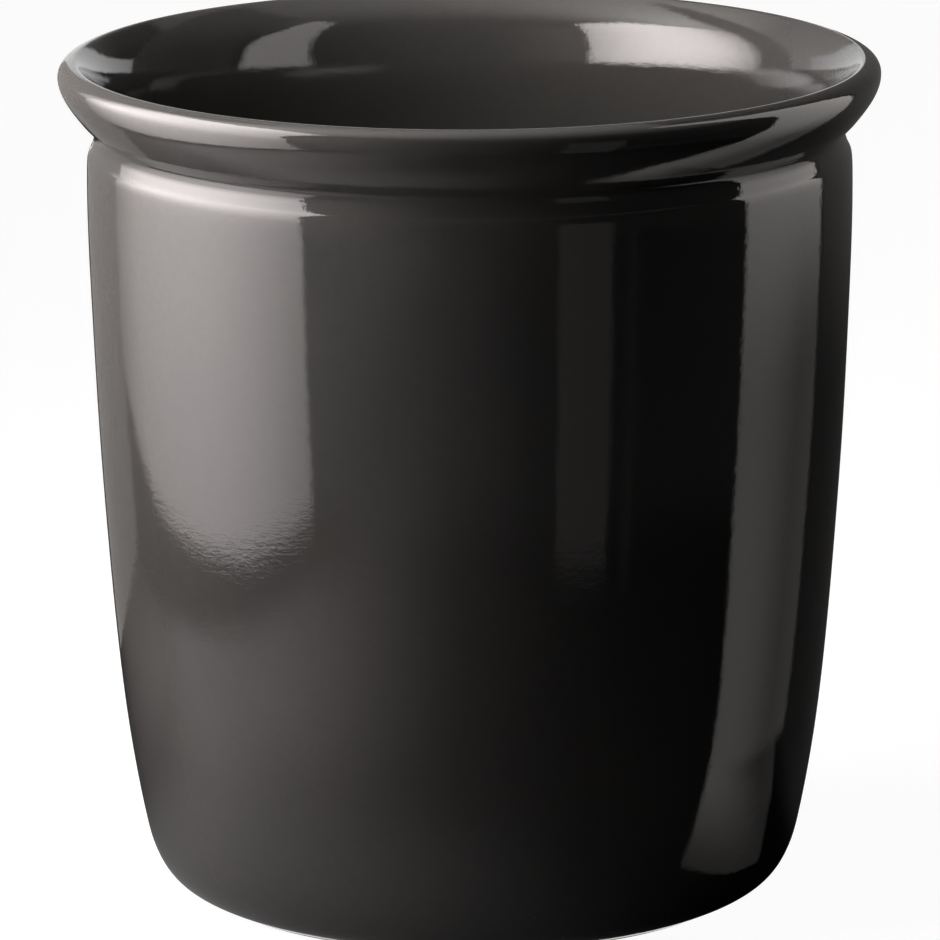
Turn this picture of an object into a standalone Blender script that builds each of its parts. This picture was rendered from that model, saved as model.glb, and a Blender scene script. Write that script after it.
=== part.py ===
"""A round, open stoneware pickle crock with a rolled rim, turned about the Z axis.

The glaze, clay and underside are three separate solids. The glaze and the clay follow one
turned outline: the outline is the glaze's face, and the clay lies a coat's thickness inside it.
The origin is the centre of the foot, where the crock stands. Sizes are in metres.
"""

import bmesh
import bpy
from math import cos, pi, radians, sin
from mathutils import Vector

MM = 0.001

# Height over all, and the widest radius of the wall, just below the rim
HEIGHT = 195.7 * MM
SHOULDER_RADIUS = 88.6 * MM

# The rim's rolled bead: how far it stands out from the wall, its rounded top and its underside
BEAD_OVERHANG = 6.4 * MM
BEAD_TOP_WIDTH = 3.9 * MM
BEAD_TOP_HEIGHT = 3.2 * MM
BEAD_UNDER_HEIGHT = 11.7 * MM
BEAD_UNDER_LEAN = 42.0
BEAD_UNDER_PULL = 4.4 * MM

# The narrow groove below the bead, and the soft ledge below it where the wall comes out again
NECK_DEPTH = 1.85 * MM
NECK_FILLET_WIDTH = 1.4 * MM
NECK_FILLET_HEIGHT = 2.6 * MM
NECK_HEIGHT = 0.3 * MM
STEP_WIDTH = 1.0 * MM
STEP_HEIGHT = 2.9 * MM
STEP_LEAN = -16.0
STEP_PULL = 0.45 * MM
SHOULDER_ROUND = 5.5 * MM
SHOULDER_PULL = 5.3 * MM

# The belly, which narrows slowly, and the heel, which rolls in to the glaze's lower edge
MIDDLE_HEIGHT = 90.0 * MM
MIDDLE_TAPER = 3.1 * MM
MIDDLE_LEAN = 3.9
HEEL_HEIGHT = 16.0 * MM
HEEL_TAPER = 11.6 * MM
HEEL_LEAN = 12.0
BELLY_PULL = 25.0 * MM
HEEL_PULL = 3.7 * MM
HEEL_ROLL = 10.2 * MM
GLAZE_EDGE_HEIGHT = 0.8 * MM
GLAZE_EDGE_LEAN = 73.0
GLAZE_EDGE_PULL = 8.1 * MM

# The inside: the rolled lip and its flare, the wall, the rounded corner and the floor
LIP_WIDTH = 1.9 * MM
LIP_HEIGHT = 1.25 * MM
LIP_LEAN = 60.0
LIP_PULL = 0.55 * MM
FLARE_HEIGHT = 21.2 * MM
FLARE_PULL = 7.4 * MM
FLARE_FOOT_PULL = 6.2 * MM
WALL = 7.0 * MM
FLOOR_HEIGHT = 11.0 * MM
CORNER_RADIUS = 14.0 * MM
CORNER_PULL = 7.7 * MM

# The dry foot ring and the recess inside it
FOOT_INSET = 1.2 * MM
FOOT_WIDTH = 8.6 * MM
FOOT_EDGE = 0.5 * MM
RECESS_DEPTH = 2.4 * MM
RECESS_SLOPE = 1.2 * MM
DRY_MARGIN = 1.6 * MM

# The coat of glaze, the gap that keeps neighbouring solids apart, and the turning
GLAZE = 0.5 * MM
GAP = 0.3 * MM
SEGMENTS = 52

# Radii and heights that follow from the sizes above
RIM_RADIUS = SHOULDER_RADIUS + BEAD_OVERHANG
CREST_RADIUS = RIM_RADIUS - BEAD_TOP_WIDTH
LIP_RADIUS = CREST_RADIUS - LIP_WIDTH
NECK_RADIUS = SHOULDER_RADIUS - NECK_DEPTH
MIDDLE_RADIUS = SHOULDER_RADIUS - MIDDLE_TAPER
HEEL_RADIUS = SHOULDER_RADIUS - HEEL_TAPER
GLAZE_EDGE_RADIUS = HEEL_RADIUS - HEEL_ROLL
FOOT_RADIUS = GLAZE_EDGE_RADIUS - FOOT_INSET
RECESS_RADIUS = FOOT_RADIUS - FOOT_WIDTH
BEAD_SIDE = HEIGHT - BEAD_TOP_HEIGHT
BEAD_ROOT = BEAD_SIDE - BEAD_UNDER_HEIGHT
NECK_TOP = BEAD_ROOT - NECK_FILLET_HEIGHT
NECK_BOTTOM = NECK_TOP - NECK_HEIGHT
STEP = NECK_BOTTOM - STEP_HEIGHT
SHOULDER = STEP - SHOULDER_ROUND
LIP = HEIGHT - LIP_HEIGHT
FLARE_FOOT = LIP - FLARE_HEIGHT

STRAIGHT_DOWN = 0.0
LEVEL = 90.0

CHARCOAL_GLAZE = ("charcoal_glaze", (0.022, 0.021, 0.020), 0.10)
BUFF_CLAY = ("buff_clay", (0.42, 0.33, 0.24), 0.85)


def heading(lean):
    """Unit direction in the (radius, height) plane; lean is degrees from straight down, inward."""
    angle = radians(lean)
    return Vector((-sin(angle), -cos(angle)))


def curve(start, start_lean, start_pull, end, end_lean, end_pull, steps):
    """Points of one smooth curve after start, ending on end, with a lean and a pull at each end."""
    first = Vector(start)
    last = Vector(end)
    near_first = first + heading(start_lean) * start_pull
    near_last = last - heading(end_lean) * end_pull
    points = []
    for step in range(1, steps + 1):
        t = step / steps
        s = 1.0 - t
        point = first * s**3 + near_first * (3 * s * s * t) + near_last * (3 * s * t * t) + last * t**3
        points.append(point)
    return points


def bead_top():
    """The crest and the bead's outer shoulder, a quarter of an ellipse, from the crest down."""
    steps = 5
    points = []
    for step in range(steps + 1):
        angle = 0.5 * pi * step / steps
        radius = CREST_RADIUS + BEAD_TOP_WIDTH * sin(angle)
        height = HEIGHT - BEAD_TOP_HEIGHT * (1.0 - cos(angle))
        points.append(Vector((radius, height)))
    return points


def belly():
    """The outside from the shoulder to the heel."""
    shoulder = (SHOULDER_RADIUS, SHOULDER)
    middle = (MIDDLE_RADIUS, MIDDLE_HEIGHT)
    heel = (HEEL_RADIUS, HEEL_HEIGHT)
    points = [Vector(shoulder)]
    points += curve(shoulder, STRAIGHT_DOWN, BELLY_PULL, middle, MIDDLE_LEAN, BELLY_PULL, 3)
    points += curve(middle, MIDDLE_LEAN, BELLY_PULL, heel, HEEL_LEAN, BELLY_PULL, 3)
    return points


def outside():
    """The glaze's face outside, from the crest down to the glaze's lower edge."""
    side = (RIM_RADIUS, BEAD_SIDE)
    root = (NECK_RADIUS + NECK_FILLET_WIDTH, BEAD_ROOT)
    neck_top = (NECK_RADIUS, NECK_TOP)
    neck_bottom = (NECK_RADIUS, NECK_BOTTOM)
    step = (NECK_RADIUS + STEP_WIDTH, STEP)
    shoulder = (SHOULDER_RADIUS, SHOULDER)
    heel = (HEEL_RADIUS, HEEL_HEIGHT)
    edge = (GLAZE_EDGE_RADIUS, GLAZE_EDGE_HEIGHT)
    fillet = 0.5 * (Vector(root) - Vector(neck_top)).length
    points = bead_top()
    points += curve(side, STRAIGHT_DOWN, BEAD_UNDER_PULL, root, BEAD_UNDER_LEAN, BEAD_UNDER_PULL, 3)
    points += curve(root, BEAD_UNDER_LEAN, fillet, neck_top, STRAIGHT_DOWN, fillet, 2)
    points += [Vector(neck_bottom)]
    points += curve(neck_bottom, STRAIGHT_DOWN, STEP_PULL, step, STEP_LEAN, STEP_PULL, 2)
    points += curve(step, STEP_LEAN, STEP_PULL, shoulder, STRAIGHT_DOWN, SHOULDER_PULL, 4)
    points += belly()[1:]
    points += curve(heel, HEEL_LEAN, HEEL_PULL, edge, GLAZE_EDGE_LEAN, GLAZE_EDGE_PULL, 4)
    return points


def inside():
    """The glaze's face inside, from just past the crest down to the middle of the floor."""
    crest = (CREST_RADIUS, HEIGHT)
    lip = (LIP_RADIUS, LIP)
    flare_foot = (SHOULDER_RADIUS - WALL, FLARE_FOOT)
    corner_top = FLOOR_HEIGHT + CORNER_RADIUS
    wall = moved_in(list(reversed(belly())), WALL)
    wall = [point for point in reversed(wall) if corner_top < point.y < FLARE_FOOT]
    points = curve(crest, LEVEL, LIP_PULL, lip, LIP_LEAN, LIP_PULL, 2)
    points += curve(lip, LIP_LEAN, FLARE_PULL, flare_foot, STRAIGHT_DOWN, FLARE_FOOT_PULL, 4)
    points += wall
    down_the_wall = points[-1] - points[-2]
    corner = points[-1] + down_the_wall * ((corner_top - points[-1].y) / down_the_wall.y)
    floor_edge = (corner.x - CORNER_RADIUS, FLOOR_HEIGHT)
    points += [corner]
    points += curve(corner, HEEL_LEAN, CORNER_PULL, floor_edge, LEVEL, CORNER_PULL, 3)
    points += [Vector((0.0, FLOOR_HEIGHT))]
    return points


def moved_in(points, distance):
    """The points of a path up the outside or down the inside, each moved into the wall."""
    moved = []
    last = len(points) - 1
    for index, point in enumerate(points):
        before = points[max(index - 1, 0)]
        after = points[min(index + 1, last)]
        along = (after - before).normalized()
        moved.append(point - Vector((along.y, -along.x)) * distance)
    return moved


def glazed_outline():
    """The whole glazed face, from the glaze's lower edge up, over the rim and in to the axis."""
    return list(reversed(outside())) + inside()


def under_the_glaze(distance):
    """The glazed face moved into the wall, with its last point kept on the axis."""
    points = moved_in(glazed_outline(), distance)
    points[-1] = Vector((0.0, FLOOR_HEIGHT - distance))
    return points


def glaze_outline():
    """The coat's section: back along its hidden face from the axis, then out along its glazed face."""
    hidden = list(reversed(under_the_glaze(GLAZE)))
    return hidden + glazed_outline()


def clay_outline():
    """The clay's section, from the middle of the recess out over the foot, up and in to the axis."""
    face = under_the_glaze(GLAZE + GAP)
    foot = [
        Vector((0.0, RECESS_DEPTH)),
        Vector((RECESS_RADIUS - RECESS_SLOPE, RECESS_DEPTH)),
        Vector((RECESS_RADIUS - FOOT_EDGE, FOOT_EDGE)),
        Vector((RECESS_RADIUS, 0.0)),
        Vector((FOOT_RADIUS - FOOT_EDGE, 0.0)),
        Vector((FOOT_RADIUS, FOOT_EDGE)),
        Vector((FOOT_RADIUS, face[0].y)),
    ]
    return foot + face


def underside_outline():
    """The thin round of glaze on the recess's ceiling, inside the foot ring."""
    top = RECESS_DEPTH - GAP
    edge = RECESS_RADIUS - RECESS_SLOPE - DRY_MARGIN
    return [
        Vector((0.0, top - GLAZE)),
        Vector((edge - GLAZE, top - GLAZE)),
        Vector((edge, top - 0.5 * GLAZE)),
        Vector((edge, top)),
        Vector((0.0, top)),
    ]


def principled(name, colour, roughness):
    """A plain glossy or matt material."""
    material = bpy.data.materials.new(name)
    material.use_nodes = True
    shader = material.node_tree.nodes["Principled BSDF"]
    shader.inputs["Base Color"].default_value = (*colour, 1.0)
    shader.inputs["Roughness"].default_value = roughness
    return material


def turned(name, outline, finish):
    """One closed solid, made by turning an outline that starts and ends on the axis."""
    mesh = bpy.data.meshes.new(name)
    body = bmesh.new()
    points = [body.verts.new((point.x, 0.0, point.y)) for point in outline]
    edges = [body.edges.new(pair) for pair in zip(points, points[1:])]
    bmesh.ops.spin(
        body, geom=points + edges, axis=(0, 0, 1), cent=(0, 0, 0), angle=2 * pi, steps=SEGMENTS, use_merge=True
    )
    bmesh.ops.remove_doubles(body, verts=body.verts, dist=0.001 * MM)
    bmesh.ops.recalc_face_normals(body, faces=body.faces)
    body.to_mesh(mesh)
    body.free()
    mesh.shade_smooth()
    mesh.set_sharp_from_angle(angle=radians(50))
    mesh.materials.append(principled(*finish))
    piece = bpy.data.objects.new(name, mesh)
    bpy.context.scene.collection.objects.link(piece)
    return piece


def main():
    for old in list(bpy.data.objects):
        bpy.data.objects.remove(old, do_unlink=True)
    turned("stoneware_body", clay_outline(), BUFF_CLAY)
    turned("glaze_coat", glaze_outline(), CHARCOAL_GLAZE)
    turned("underside_glaze", underside_outline(), CHARCOAL_GLAZE)


main()
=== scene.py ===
"""The looks of a round stoneware pickle crock under a glossy charcoal glaze.

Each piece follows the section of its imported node, turned with many more steps than the CAD
model has. Lengths are in metres and angles in degrees. The crock's axis is Z, and the
photograph's camera looks along +Y.
"""

from math import atan2, ceil, cos, pi, radians, sin

import bpy
import numpy as np
from mathutils import Matrix, Vector, noise


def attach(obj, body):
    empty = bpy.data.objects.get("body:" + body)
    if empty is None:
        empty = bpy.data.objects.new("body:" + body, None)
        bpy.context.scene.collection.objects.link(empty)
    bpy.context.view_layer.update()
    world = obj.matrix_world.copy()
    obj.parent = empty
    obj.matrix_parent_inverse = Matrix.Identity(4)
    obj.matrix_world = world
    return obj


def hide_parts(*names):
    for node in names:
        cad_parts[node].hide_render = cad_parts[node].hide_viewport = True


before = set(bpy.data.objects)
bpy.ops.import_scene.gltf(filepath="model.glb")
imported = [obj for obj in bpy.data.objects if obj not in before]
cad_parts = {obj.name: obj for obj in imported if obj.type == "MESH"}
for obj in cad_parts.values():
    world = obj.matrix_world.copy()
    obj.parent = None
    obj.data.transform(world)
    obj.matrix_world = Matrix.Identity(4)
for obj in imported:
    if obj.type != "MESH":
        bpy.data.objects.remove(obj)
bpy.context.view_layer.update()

MM = 0.001

# The photograph's camera. The crock's axis lies AXIS_OFFSET pixels off the picture's middle
CAMERA_BACK = 1.700
CAMERA_HEIGHT = 0.4992
AIM_HEIGHT = 0.0976
LENS = 286.05
CAMERA_ROLL = 0.24
IMAGE_SIZE = 940
AXIS_OFFSET = 1.2

# How finely the outlines are turned
SEGMENTS = 240
LONGEST_STEP = 3.0 * MM
WIDEST_BEND = 8.0
STRAIGHT_SPAN = 35.0 * MM
CORNER_ANGLE = 42.0

# How far hand work left the wall from true
WANDER_DEPTH = 0.10 * MM
WANDER_WIDTH = 38.0 * MM

# The colours of the glaze and the clay
GLAZE_WARM = (0.0465, 0.0454, 0.0425)
GLAZE_COOL = (0.0425, 0.0424, 0.0414)
GLAZE_DEEP = (0.0365, 0.0363, 0.0350)
PALE_SPECK = (0.30, 0.28, 0.25)
PINHOLE = (0.018, 0.016, 0.015)
CLAY_BUFF = (0.45, 0.355, 0.255)
CLAY_TAN = (0.37, 0.285, 0.205)
CLAY_SAND = (0.30, 0.225, 0.16)
CLAY_IRON = (0.10, 0.065, 0.045)

# The skin of the glaze and of the clay
STREAK_WIDTH = 2.2 * MM
STREAK_DEPTH = 0.028 * MM
SWELL_WIDTH = 7.0 * MM
SWELL_DEPTH = 0.028 * MM
PINHOLE_DEPTH = 0.03 * MM
SPECK_HEIGHT = 0.02 * MM
SAND_WIDTH = 0.7 * MM
SAND_HEIGHT = 0.12 * MM

# The floors, one a little above the other. The grey one leaves out a round as wide as the heel
FLOOR_LEVEL = -0.2 * MM
GREY_FLOOR_LEVEL = 0.3 * MM
CARD_LIGHT_LEVEL = 0.6 * MM
FLOOR_REACH = 6.0
FLOOR_PAINT = 0.20
FLOOR_WHITE = 0.96
UNDER_THE_CROCK = 0.067

# Where the softbox, the cards and the boards stand, as points of the floor
SOFTBOX_FRONT = (-0.2303, -0.2391)
SOFTBOX_BACK = (-0.297, 0.159)
LEFT_BOARD_END = (-0.128, 0.190)
CARD_FRONT = (0.1406, -0.0625)
CARD_BACK = (0.165, 0.038)
BACK_BOARD_START = (0.10, 0.225)
DIM_CARD = (0.200, -0.265), (0.130, -0.309)
EDGE_CARD = (0.227, -0.235), (0.214, -0.245)

# Their tops, the tints of their light, and the glow of the plain ones
LEFT_BOARD_TOP = 0.60
BACK_BOARD_TOP = 0.50
SMALL_CARD_TOP = 0.20
SOFTBOX_TINT = (1.0, 0.93, 0.92)
LAMP_TINT = (1.0, 0.95, 0.92)
LIT_CARD = 1.95
DIM_CARD_GLOW = 0.17
EDGE_CARD_GLOW = 0.06

# The room around, whose wall is open low down behind the crock, between two bearings
ROOM_RADIUS = 1.2
ROOM_TOP = 1.1
GAP_TOP = 0.53
GAP_START = 50.0
GAP_END = 126.0
BEARING_STEP = 4.0
CEILING_HEIGHT = 1.35
CEILING_REACH = 1.6


class Socket:
    """An output in a material. Arithmetic on it adds the Math nodes that work the result out."""

    def __init__(self, finish, output):
        self.finish = finish
        self.output = output

    def math(self, operation, first, second):
        return self.finish.node("ShaderNodeMath", {0: first, 1: second}, operation=operation)

    def __add__(self, other):
        return self.math("ADD", self, other)

    def __radd__(self, other):
        return self.math("ADD", other, self)

    def __sub__(self, other):
        return self.math("SUBTRACT", self, other)

    def __rsub__(self, other):
        return self.math("SUBTRACT", other, self)

    def __mul__(self, other):
        return self.math("MULTIPLY", self, other)

    def __rmul__(self, other):
        return self.math("MULTIPLY", other, self)

    def __truediv__(self, other):
        return self.math("DIVIDE", self, other)

    def __rtruediv__(self, other):
        return self.math("DIVIDE", other, self)


class Finish:
    """One material or world in the making: its node tree and the ways to add to it."""

    def __init__(self, owner):
        self.owner = owner
        owner.use_nodes = True
        self.tree = owner.node_tree
        self.tree.nodes.clear()

    def node(self, kind, sockets=(), output=0, **settings):
        """Adds a node, makes its settings, then fills its sockets with values or links."""
        made = self.tree.nodes.new(kind)
        for name, value in settings.items():
            setattr(made, name, value)
        for name, value in dict(sockets).items():
            if isinstance(value, Socket):
                self.tree.links.new(value.output, made.inputs[name])
            else:
                made.inputs[name].default_value = value
        return Socket(self, made.outputs[output]) if made.outputs else None

    def place(self):
        """Where a point of the surface lies, in the object's own metres."""
        return self.node("ShaderNodeTexCoord", output="Object")

    def stretched(self, place, x, y, z):
        return self.node("ShaderNodeVectorMath", {0: place, 1: (x, y, z)}, operation="MULTIPLY")

    def grain(self, place, width, detail=0.0, roughness=0.5):
        """Soft noise between 0 and 1 whose blobs are about this wide."""
        sockets = {"Vector": place, "Scale": 1.0 / width, "Detail": detail, "Roughness": roughness}
        return self.node("ShaderNodeTexNoise", sockets)

    def band(self, value, low, high, start=0.0, end=1.0):
        """Goes smoothly from start to end as the value goes from low to high."""
        sockets = {"Value": value, 1: low, 2: high, 3: start, 4: end}
        return self.node("ShaderNodeMapRange", sockets, interpolation_type="SMOOTHSTEP")

    def blend(self, mask, first, second):
        """The first colour where the mask is 0, the second where it is 1."""
        sockets = {0: mask, 6: self.colour(first), 7: self.colour(second)}
        return self.node("ShaderNodeMix", sockets, output=2, data_type="RGBA")

    def spots(self, place, spacing, share, radius):
        """1 on sparse round spots: one in each cell of this spacing, in this share of the cells."""
        scale = 1.0 / spacing
        distance = self.node("ShaderNodeTexVoronoi", {"Vector": place, "Scale": scale}, output="Distance")
        lottery = self.node("ShaderNodeTexVoronoi", {"Vector": place, "Scale": scale}, output="Color")
        drawn = self.band(lottery, share * 0.98, share, 1.0, 0.0)
        size = radius / spacing
        return self.band(distance, 0.4 * size, size, 1.0, 0.0) * drawn

    def colour(self, value):
        return value if isinstance(value, Socket) else (*value, 1.0)

    def surface(self, shader):
        self.node("ShaderNodeOutputMaterial", {"Surface": shader})
        return self.owner


def charcoal_glaze():
    """Nearly black glossy glaze with a skin of fine streaks and swells, pinholes and pale specks."""
    glaze = Finish(bpy.data.materials.new("charcoal_glaze"))
    place = glaze.place()
    streaks = glaze.grain(glaze.stretched(place, 1.0, 1.0, 2.0), STREAK_WIDTH, 3.0, 0.72)
    swell = glaze.grain(place, SWELL_WIDTH, 1.0)
    pinholes = glaze.spots(place, 8.0 * MM, 0.35, 0.22 * MM)
    specks = glaze.spots(glaze.stretched(place, 1.0, 1.0, 1.1), 11.0 * MM, 0.30, 0.20 * MM)
    clouds = glaze.band(glaze.grain(place, 34.0 * MM, 3.0), 0.35, 0.65)
    mottle = glaze.band(glaze.grain(place, 2.4 * MM, 3.0, 0.6), 0.3, 0.7)
    body = glaze.blend(clouds, GLAZE_WARM, GLAZE_COOL)
    body = glaze.blend(mottle * 0.35, body, GLAZE_DEEP)
    body = glaze.blend(specks * 0.5, body, PALE_SPECK)
    body = glaze.blend(pinholes * 0.7, body, PINHOLE)
    height = streaks * STREAK_DEPTH + swell * SWELL_DEPTH - pinholes * PINHOLE_DEPTH + specks * SPECK_HEIGHT
    skin = glaze.node("ShaderNodeBump", {"Strength": 1.0, "Distance": 1.0, "Height": height})
    roughness = glaze.band(mottle, 0.0, 1.0, 0.020, 0.035) + pinholes * 0.2
    sockets = {"Base Color": body, "Roughness": roughness, "IOR": 1.6, "Normal": skin}
    return glaze.surface(glaze.node("ShaderNodeBsdfPrincipled", sockets))


def bare_stoneware():
    """Unglazed buff clay: matt, sandy and speckled with iron."""
    clay = Finish(bpy.data.materials.new("bare_stoneware"))
    place = clay.place()
    clouds = clay.band(clay.grain(place, 18.0 * MM, 3.0), 0.3, 0.7)
    sand = clay.grain(place, SAND_WIDTH, 3.0, 0.7)
    iron = clay.spots(place, 2.6 * MM, 0.35, 0.30 * MM)
    body = clay.blend(clouds, CLAY_BUFF, CLAY_TAN)
    body = clay.blend(clay.band(sand, 0.35, 0.7) * 0.5, body, CLAY_SAND)
    body = clay.blend(iron * 0.8, body, CLAY_IRON)
    skin = clay.node("ShaderNodeBump", {"Strength": 1.0, "Distance": 1.0, "Height": sand * SAND_HEIGHT})
    roughness = clay.band(sand, 0.3, 0.7, 0.78, 0.92)
    sockets = {"Base Color": body, "Roughness": roughness, "Normal": skin}
    return clay.surface(clay.node("ShaderNodeBsdfPrincipled", sockets))


def section(node):
    """The outline of a turned CAD node as (radius, height) rows, from its lowest point on the axis."""
    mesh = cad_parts[node].data
    keys = {}
    for vertex in mesh.vertices:
        x, y, z = vertex.co
        if abs(y) < 0.001 * MM and x > 0.0:
            keys[vertex.index] = (round(x / MM, 3), round(z / MM, 3))
    neighbours = {}
    for edge in mesh.edges:
        first, second = (keys.get(index) for index in edge.vertices)
        if first and second and first != second:
            neighbours.setdefault(first, set()).add(second)
            neighbours.setdefault(second, set()).add(first)
    open_ends = [key for key in neighbours if len(neighbours[key]) == 1]
    here = min(open_ends, key=lambda key: key[1])
    path = [(0.0, here[1]), here]
    while True:
        onward = [key for key in neighbours[here] if key not in path]
        if not onward:
            path.append((0.0, here[1]))
            return np.array(path) * MM
        here = onward[0]
        path.append(here)


def turn_at(path, index):
    """How sharply the outline turns at a point, in degrees."""
    before = path[index] - path[index - 1]
    after = path[index + 1] - path[index]
    cross = before[0] * after[1] - before[1] * after[0]
    return abs(atan2(cross, before @ after)) * 180.0 / pi


def smooth_run(points, steps, first_way=None, last_way=None):
    """A cubic spline through the points, along their chord lengths, with as many steps in each span
    as given. A way fixes the direction at its end, and without one that end is left unbent."""
    span = np.linalg.norm(np.diff(points, axis=0), axis=1)
    slope = np.diff(points, axis=0) / span[:, None]
    size = len(points)
    system = np.eye(size)
    bend = np.zeros((size, 2))
    for i in range(1, size - 1):
        system[i, i - 1 : i + 2] = span[i - 1], 2.0 * (span[i - 1] + span[i]), span[i]
        bend[i] = 6.0 * (slope[i] - slope[i - 1])
    if first_way is not None:
        system[0, :2] = 2.0 * span[0], span[0]
        bend[0] = 6.0 * (slope[0] - first_way)
    if last_way is not None:
        system[-1, -2:] = span[-1], 2.0 * span[-1]
        bend[-1] = 6.0 * (last_way - slope[-1])
    bend = np.linalg.solve(system, bend)
    fine = []
    for i in range(size - 1):
        for step in range(steps[i]):
            t = step / steps[i]
            s = 1.0 - t
            sag = ((s**3 - s) * bend[i] + (t**3 - t) * bend[i + 1]) * span[i] ** 2 / 6.0
            fine.append(s * points[i] + t * points[i + 1] + sag)
    return fine


def fine_outline(node):
    """The node's section with its curves made smooth, and its corners and long straights kept."""
    path = section(node)
    span = np.linalg.norm(np.diff(path, axis=0), axis=1)
    way = np.diff(path, axis=0) / span[:, None]
    last = len(span)
    turn = [0.0, *(turn_at(path, i) for i in range(1, last)), 0.0]
    steps = [ceil(max(span[i] / LONGEST_STEP, (turn[i] + turn[i + 1]) / WIDEST_BEND)) for i in range(last)]
    straight = [length > STRAIGHT_SPAN for length in span]
    joints = [i for i in range(1, last) if turn[i] > CORNER_ANGLE or straight[i - 1] or straight[i]]
    fine = []
    for start, end in zip([0, *joints], [*joints, last]):
        after = start > 0 and straight[start - 1] and turn[start] < CORNER_ANGLE
        before = end < last and straight[end] and turn[end] < CORNER_ANGLE
        first_way = way[start - 1] if after else None
        last_way = way[end] if before else None
        if straight[start]:
            first_way = last_way = None
        fine += smooth_run(path[start : end + 1], steps[start:end], first_way, last_way)
    return np.array([*fine, path[-1]])


def turned(name, outline, material):
    """A closed mesh, made by turning an outline that starts and ends on the axis."""
    angles = 2.0 * pi * np.arange(SEGMENTS) / SEGMENTS
    rings = outline[1:-1]
    radius = rings[:, :1]
    height = np.repeat(rings[:, 1:], SEGMENTS, axis=1)
    cage = np.stack([radius * np.cos(angles), radius * np.sin(angles), height], axis=-1).reshape(-1, 3)
    poles = [(0.0, 0.0, outline[0][1]), (0.0, 0.0, outline[-1][1])]
    points = np.concatenate([cage, poles])
    first_pole = len(cage)
    last_pole = first_pole + 1
    last_ring = first_pole - SEGMENTS
    faces = []
    for step in range(SEGMENTS):
        following = (step + 1) % SEGMENTS
        faces.append((first_pole, following, step))
        faces.append((last_pole, last_ring + step, last_ring + following))
        for ring in range(0, last_ring, SEGMENTS):
            above = ring + SEGMENTS
            faces.append((ring + step, ring + following, above + following, above + step))
    mesh = bpy.data.meshes.new(name)
    mesh.from_pydata(points.tolist(), [], faces)
    mesh.shade_smooth()
    mesh.set_sharp_from_angle(angle=radians(CORNER_ANGLE))
    mesh.materials.append(material)
    piece = bpy.data.objects.new(name, mesh)
    bpy.context.scene.collection.objects.link(piece)
    return piece


def unsettle(piece, depth, width):
    """Moves each point in or out by soft noise, so that the turned form isn't machine true."""
    for vertex in piece.data.vertices:
        outward = Vector((vertex.co.x, vertex.co.y, 0.0))
        if outward.length > width * 0.1:
            vertex.co += outward.normalized() * (depth * noise.noise(vertex.co / width))
    piece.data.update()


def glaze_layer(node, glaze):
    """One coat of glaze, in place of its CAD node."""
    piece = turned(node + "_fine", fine_outline(node), glaze)
    unsettle(piece, WANDER_DEPTH, WANDER_WIDTH)
    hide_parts(node)
    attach(piece, "root")


def clay_body(clay):
    """The fired clay, of which the foot ring shows."""
    piece = turned("stoneware_body_fine", fine_outline("stoneware_body"), clay)
    unsettle(piece, WANDER_DEPTH, WANDER_WIDTH)
    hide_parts("stoneware_body")
    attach(piece, "root")


def camera():
    """The photograph's camera, from its fitted place."""
    pitch = atan2(CAMERA_HEIGHT - AIM_HEIGHT, CAMERA_BACK)
    roll = radians(CAMERA_ROLL)
    ahead = Vector((0.0, cos(pitch), -sin(pitch)))
    level = Vector((1.0, 0.0, 0.0))
    above = Vector((0.0, sin(pitch), cos(pitch)))
    right = level * cos(roll) - above * sin(roll)
    up = above * cos(roll) + level * sin(roll)
    data = bpy.data.cameras.new("camera")
    data.lens = LENS
    data.shift_x = -AXIS_OFFSET / IMAGE_SIZE
    data.clip_end = 100.0
    eye = bpy.data.objects.new("camera", data)
    turn = Matrix((right, up, -ahead)).transposed()
    eye.matrix_world = Matrix.Translation((0.0, -CAMERA_BACK, CAMERA_HEIGHT)) @ turn.to_4x4()
    bpy.context.scene.collection.objects.link(eye)
    bpy.context.scene.camera = eye


def seen_rays(finish):
    """1 for the rays that show a background: the camera's own, and those off gloss and through glass."""
    kinds = ("Is Camera Ray", "Is Glossy Ray", "Is Transmission Ray")
    camera_ray, gloss_ray, glass_ray = (finish.node("ShaderNodeLightPath", output=kind) for kind in kinds)
    return camera_ray + gloss_ray + glass_ray


def panel(name, corners, material):
    """A flat sheet through corners given in order, part of the studio."""
    mesh = bpy.data.meshes.new(name)
    mesh.from_pydata(corners, [], [tuple(range(len(corners)))])
    mesh.materials.append(material)
    sheet = bpy.data.objects.new(name, mesh)
    bpy.context.scene.collection.objects.link(sheet)
    return sheet


def upright(bottom, top):
    """The outline of a plain rectangle, for standing()."""
    return [(0.0, bottom), (1.0, bottom), (1.0, top), (0.0, top)]


def square(reach, level):
    """The corners of a level sheet that faces up."""
    return [(-reach, -reach, level), (reach, -reach, level), (reach, reach, level), (-reach, reach, level)]


def standing(name, start, end, outline, material):
    """A panel upright over a floor line and hidden from the camera. Its outline gives the share of
    the way from start to end, and the height."""
    corners = [(*Vector(start).lerp(Vector(end), share), height) for share, height in outline]
    sheet = panel(name, corners, material)
    sheet.visible_camera = False
    return sheet


def gloss_only(sheet):
    """Leaves a part of the studio to reflections: the camera, the shadows and the soft light pass it."""
    sheet.visible_camera = False
    sheet.visible_diffuse = False
    sheet.visible_shadow = False
    sheet.visible_transmission = False


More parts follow.
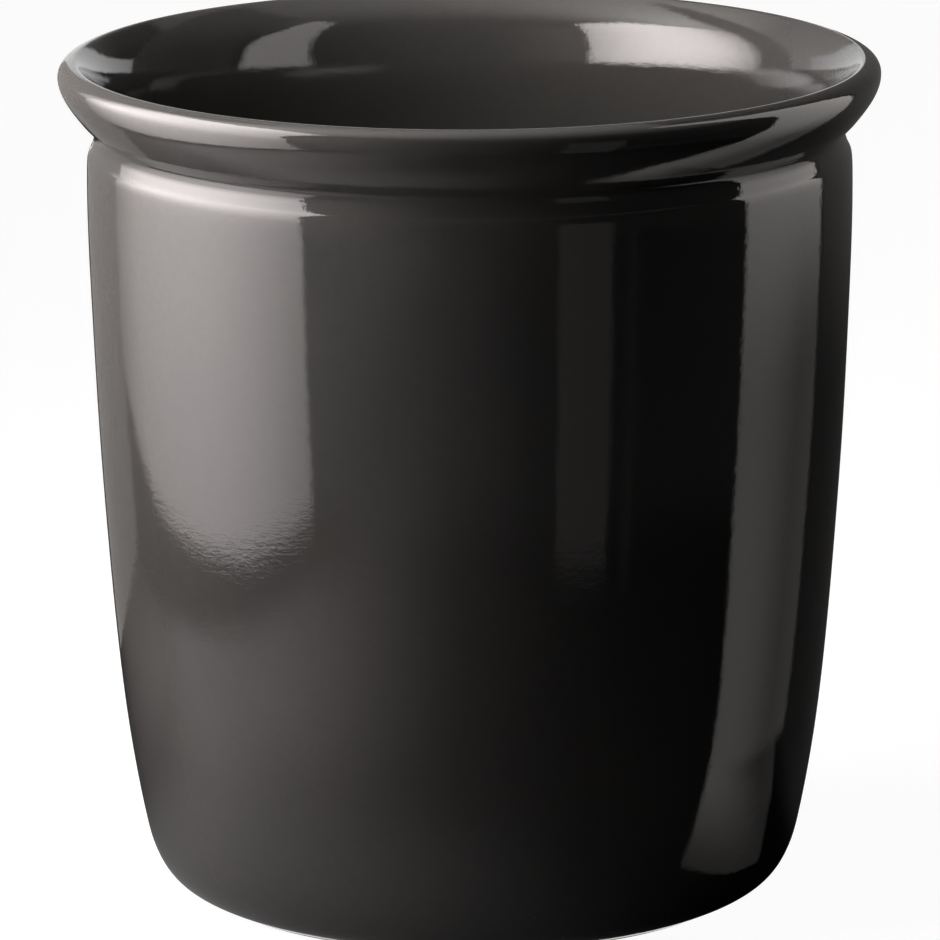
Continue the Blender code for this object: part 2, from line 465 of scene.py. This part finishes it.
def around(inner, outer, low, high, start, end, material):
    """A sheet turned about the crock from (inner, low) to (outer, high), between two bearings."""
    steps = ceil((end - start) / BEARING_STEP)
    points = []
    faces = []
    for step in range(steps + 1):
        bearing = radians(start + (end - start) * step / steps)
        points.append((inner * cos(bearing), inner * sin(bearing), low))
        points.append((outer * cos(bearing), outer * sin(bearing), high))
    for step in range(steps):
        here = 2 * step
        faces.append((here, here + 1, here + 3, here + 2))
    mesh = bpy.data.meshes.new(material.name)
    mesh.from_pydata(points, [], faces)
    mesh.materials.append(material)
    sheet = bpy.data.objects.new(material.name, mesh)
    bpy.context.scene.collection.objects.link(sheet)
    gloss_only(sheet)


def lamp(name, strength, tint=LAMP_TINT):
    """A cloth that glows on its front alone, as strongly as strength(cloth, x, y, z) says."""
    cloth = Finish(bpy.data.materials.new(name))
    place = cloth.place()
    x, y, z = (cloth.node("ShaderNodeSeparateXYZ", {0: place}, output=axis) for axis in "XYZ")
    front = 1.0 - cloth.node("ShaderNodeNewGeometry", output="Backfacing")
    sockets = {"Color": (*tint, 1.0), "Strength": front * strength(cloth, x, y, z)}
    return cloth.surface(cloth.node("ShaderNodeEmission", sockets))


def even(level):
    """The same strength all over a cloth."""
    return lambda cloth, x, y, z: level


def softbox_glow(cloth, x, y, z):
    """Far dimmer in its lower part than above, and brightest near the middle of its length."""
    rise = cloth.band(z, 0.12, 0.28)
    middle = rise * 0.059 - 0.099
    spread = rise * 0.05 + 0.245
    along = (y - middle) / spread
    fall = along * along + 1.0
    level = (z * 14.0 + 2.5) * (1.0 - rise) + rise * 11.2
    toward_back = cloth.band(y, 0.06, 0.16, 1.0, 0.7)
    toward_top = cloth.band(z, 0.47, 0.60, 1.0, 0.6)
    return level / (fall * fall) * toward_back * toward_top


def skirt_glow(cloth, x, y, z):
    """The cloth below the softbox's hem, which dims toward the floor."""
    return cloth.band(z, 0.0, 0.022, 1.1, 1.7)


def grey_board_glow(cloth, x, y, z):
    """A grey board behind the softbox, in its spill light toward the top and beside it."""
    beside = cloth.band(x, -0.272, -0.245, 1.5, 0.0) * cloth.band(z, 0.20, 0.25)
    return cloth.band(z, 0.05, 0.45, 0.28, 0.55) + beside


def white_card_glow(cloth, x, y, z):
    """Lit by the softbox over the crock, and in its shadow below, most of all toward the back."""
    shadow = cloth.band(y, -0.060, 0.006, 0.62, 0.20)
    clear = cloth.band(z - (y - CARD_FRONT[1]) * 0.12, 0.095, 0.215)
    return shadow + (LIT_CARD - shadow) * clear


def dark_board_glow(cloth, x, y, z):
    """A nearly black board behind the white card."""
    return cloth.band(z, 0.09, 0.18, 0.03, 0.13)


def card_light_glow(cloth, x, y, z):
    """What the white card throws on the floor before it, less toward the crock and the back."""
    return cloth.band(y, -0.070, -0.005, 0.70, 0.11) * cloth.band(x, 0.07, 0.135, 0.22, 1.0)


def ceiling_glow(cloth, x, y, z):
    """Lit by the softbox's own lamp, so brightest on its side, and dark toward the camera."""
    across = (x + 1.0) / 0.6
    along = y / 0.6
    return 4.1 / (across * across + along * along + 1.0) * cloth.band(y, -1.2, 0.3, 0.15, 1.0)


def room_glow(cloth, x, y, z):
    """Dim walls, lighter on the softbox's side."""
    return cloth.band(x, -1.1, -0.1, 0.50, 0.05) + cloth.band(y - x, 0.5, 1.6, 0.0, 0.38)


def grey_floor():
    """The floor as gloss shows it: grey paint toward the softbox, with painted shade darker to the right
    and behind, away from the softbox and in the crock's shadow, and a painted glow where other lamps light
    it."""
    cloth = Finish(bpy.data.materials.new("grey_floor"))
    place = cloth.place()
    x, y = (cloth.node("ShaderNodeSeparateXYZ", {0: place}, output=axis) for axis in "XY")
    distance = cloth.node("ShaderNodeVectorMath", {0: place}, output="Value", operation="LENGTH")
    # Painted shade: the grey paint darkens to the right and behind, away from the softbox and in the
    # crock's shadow.
    past = x + cloth.band(y, -0.06, 0.04, 0.0, 0.11)
    tone = cloth.band(past, -0.20, 0.0, 0.50, 0.04) * cloth.band(y, 0.0, 0.15, 1.0, 0.4)
    # Painted light: a dim glow by the foot, by the softbox, farther out, and behind on the right, where
    # other lamps light the floor.
    by_foot = cloth.band(distance, 0.10, 0.16, 1.0, 0.0) * cloth.band(x, -0.06, 0.06, 0.16, 0.0)
    by_softbox = cloth.band(x, -0.27, -0.21, 0.35, 0.0) * cloth.band(y, -0.24, -0.20)
    farther = cloth.band(distance, 0.33, 0.42) * cloth.band(x, -0.40, -0.05, 0.22, 0.06)
    farther *= cloth.band(x, 0.0, 0.15, 1.0, 0.5)
    behind = cloth.band(x, 0.06, 0.12, 0.0, 0.025) * cloth.band(y, 0.0, 0.04)
    in_front = cloth.band(y, -0.02, 0.06, 1.0, 0.0)
    spill = (by_foot + by_softbox + farther) * in_front + behind
    paint = cloth.node("ShaderNodeBsdfDiffuse", {"Color": tone})
    glow = cloth.node("ShaderNodeEmission", {"Strength": spill})
    return cloth.surface(cloth.node("ShaderNodeAddShader", {0: paint, 1: glow}))


def lay_floor():
    """The pale floor: dim paint for the soft light, and a white glow for the rays that show it."""
    floor = Finish(bpy.data.materials.new("pale_floor"))
    paint = floor.node("ShaderNodeBsdfDiffuse", {"Color": (FLOOR_PAINT, FLOOR_PAINT, FLOOR_PAINT, 1.0)})
    glow = floor.node("ShaderNodeEmission", {"Strength": seen_rays(floor) * FLOOR_WHITE})
    floor.surface(floor.node("ShaderNodeAddShader", {0: paint, 1: glow}))
    panel("floor", square(FLOOR_REACH, FLOOR_LEVEL), floor.owner)


def stand_softbox():
    """The softbox on the left with its skirt, and the grey board behind it."""
    hem = [(0.0, 0.016), (0.28, 0.020), (0.55, 0.027), (0.75, 0.031), (0.90, 0.043), (1.0, 0.056)]
    top = [(1.0, 0.485), (0.70, 0.500), (0.56, 0.525), (0.43, 0.560), (0.035, 0.540)]
    front_edge = [(0.030, 0.240), (0.0, 0.200)]
    cloth = lamp("softbox", softbox_glow, SOFTBOX_TINT)
    standing("left_softbox", SOFTBOX_FRONT, SOFTBOX_BACK, hem + top + front_edge, cloth)
    below = [(1.0, 0.0), (0.0, 0.0)] + hem
    gloss_only(standing("skirt", SOFTBOX_FRONT, SOFTBOX_BACK, below, lamp("skirt", skirt_glow)))
    outline = upright(0.0, LEFT_BOARD_TOP)
    board = lamp("grey_board", grey_board_glow)
    gloss_only(standing("left_board", SOFTBOX_BACK, LEFT_BOARD_END, outline, board))


def stand_card():
    """The white card on the right, of which only the head lights the crock softly, the dark board
    behind it, and its light on the floor."""
    card = lamp("white_card", white_card_glow)
    foot = [(0.0, 0.0), (0.0, 0.190), (0.07, 0.230), (0.86, 0.230), (0.93, 0.180), (0.96, 0.0)]
    gloss_only(standing("card_foot", CARD_FRONT, CARD_BACK, foot, card))
    head = [(0.07, 0.230), (0.07, 0.400), (0.23, 0.432), (0.35, 0.450), (0.64, 0.450), (0.65, 0.345)]
    head += [(0.77, 0.312), (0.85, 0.260), (0.86, 0.230)]
    standing("card_head", CARD_FRONT, CARD_BACK, head, card)
    outline = upright(0.0, BACK_BOARD_TOP)
    board = lamp("dark_board", dark_board_glow)
    gloss_only(standing("back_board", BACK_BOARD_START, CARD_BACK, outline, board))
    edge = [CARD_FRONT, (0.1601, 0.018), (0.125, 0.004), (0.100, -0.012), (0.084, -0.022)]
    edge += [(0.078, -0.040), (0.076, -0.0645)]
    corners = [(x, y, CARD_LIGHT_LEVEL) for x, y in edge]
    gloss_only(panel("lit_floor", corners, lamp("card_light", card_light_glow)))


def stand_small_cards():
    """Two dim cards in front on the right."""
    outline = upright(0.0, SMALL_CARD_TOP)
    gloss_only(standing("dim_card", *DIM_CARD, outline, lamp("dim_card", even(DIM_CARD_GLOW))))
    gloss_only(standing("edge_card", *EDGE_CARD, outline, lamp("edge_card", even(EDGE_CARD_GLOW))))


def backdrop():
    """A white world, for the rays that show a background."""
    world = Finish(bpy.data.worlds.new("studio"))
    bpy.context.scene.world = world.owner
    sky = world.node("ShaderNodeBackground", {"Color": (1, 1, 1, 1), "Strength": seen_rays(world)})
    world.node("ShaderNodeOutputWorld", {"Surface": sky})


def surroundings():
    """The ceiling, the grey floor and the walls, which only gloss shows."""
    roof = square(CEILING_REACH, CEILING_HEIGHT)[::-1]
    gloss_only(panel("ceiling", roof, lamp("ceiling", ceiling_glow)))
    around(UNDER_THE_CROCK, ROOM_RADIUS, GREY_FLOOR_LEVEL, GREY_FLOOR_LEVEL, 0.0, 360.0, grey_floor())
    walls = lamp("room", room_glow)
    around(ROOM_RADIUS, ROOM_RADIUS, GREY_FLOOR_LEVEL, ROOM_TOP, GAP_END, GAP_START + 360.0, walls)
    around(ROOM_RADIUS, ROOM_RADIUS, GAP_TOP, ROOM_TOP, GAP_START, GAP_END, walls)


def studio():
    """A pale floor, a big softbox on the left, a white card on the right, and a dim room around."""
    lay_floor()
    stand_softbox()
    stand_card()
    stand_small_cards()
    backdrop()
    surroundings()


glaze = charcoal_glaze()
clay_body(bare_stoneware())
glaze_layer("glaze_coat", glaze)
glaze_layer("underside_glaze", glaze)
camera()
studio()
bpy.context.scene.view_settings.view_transform = "Standard"
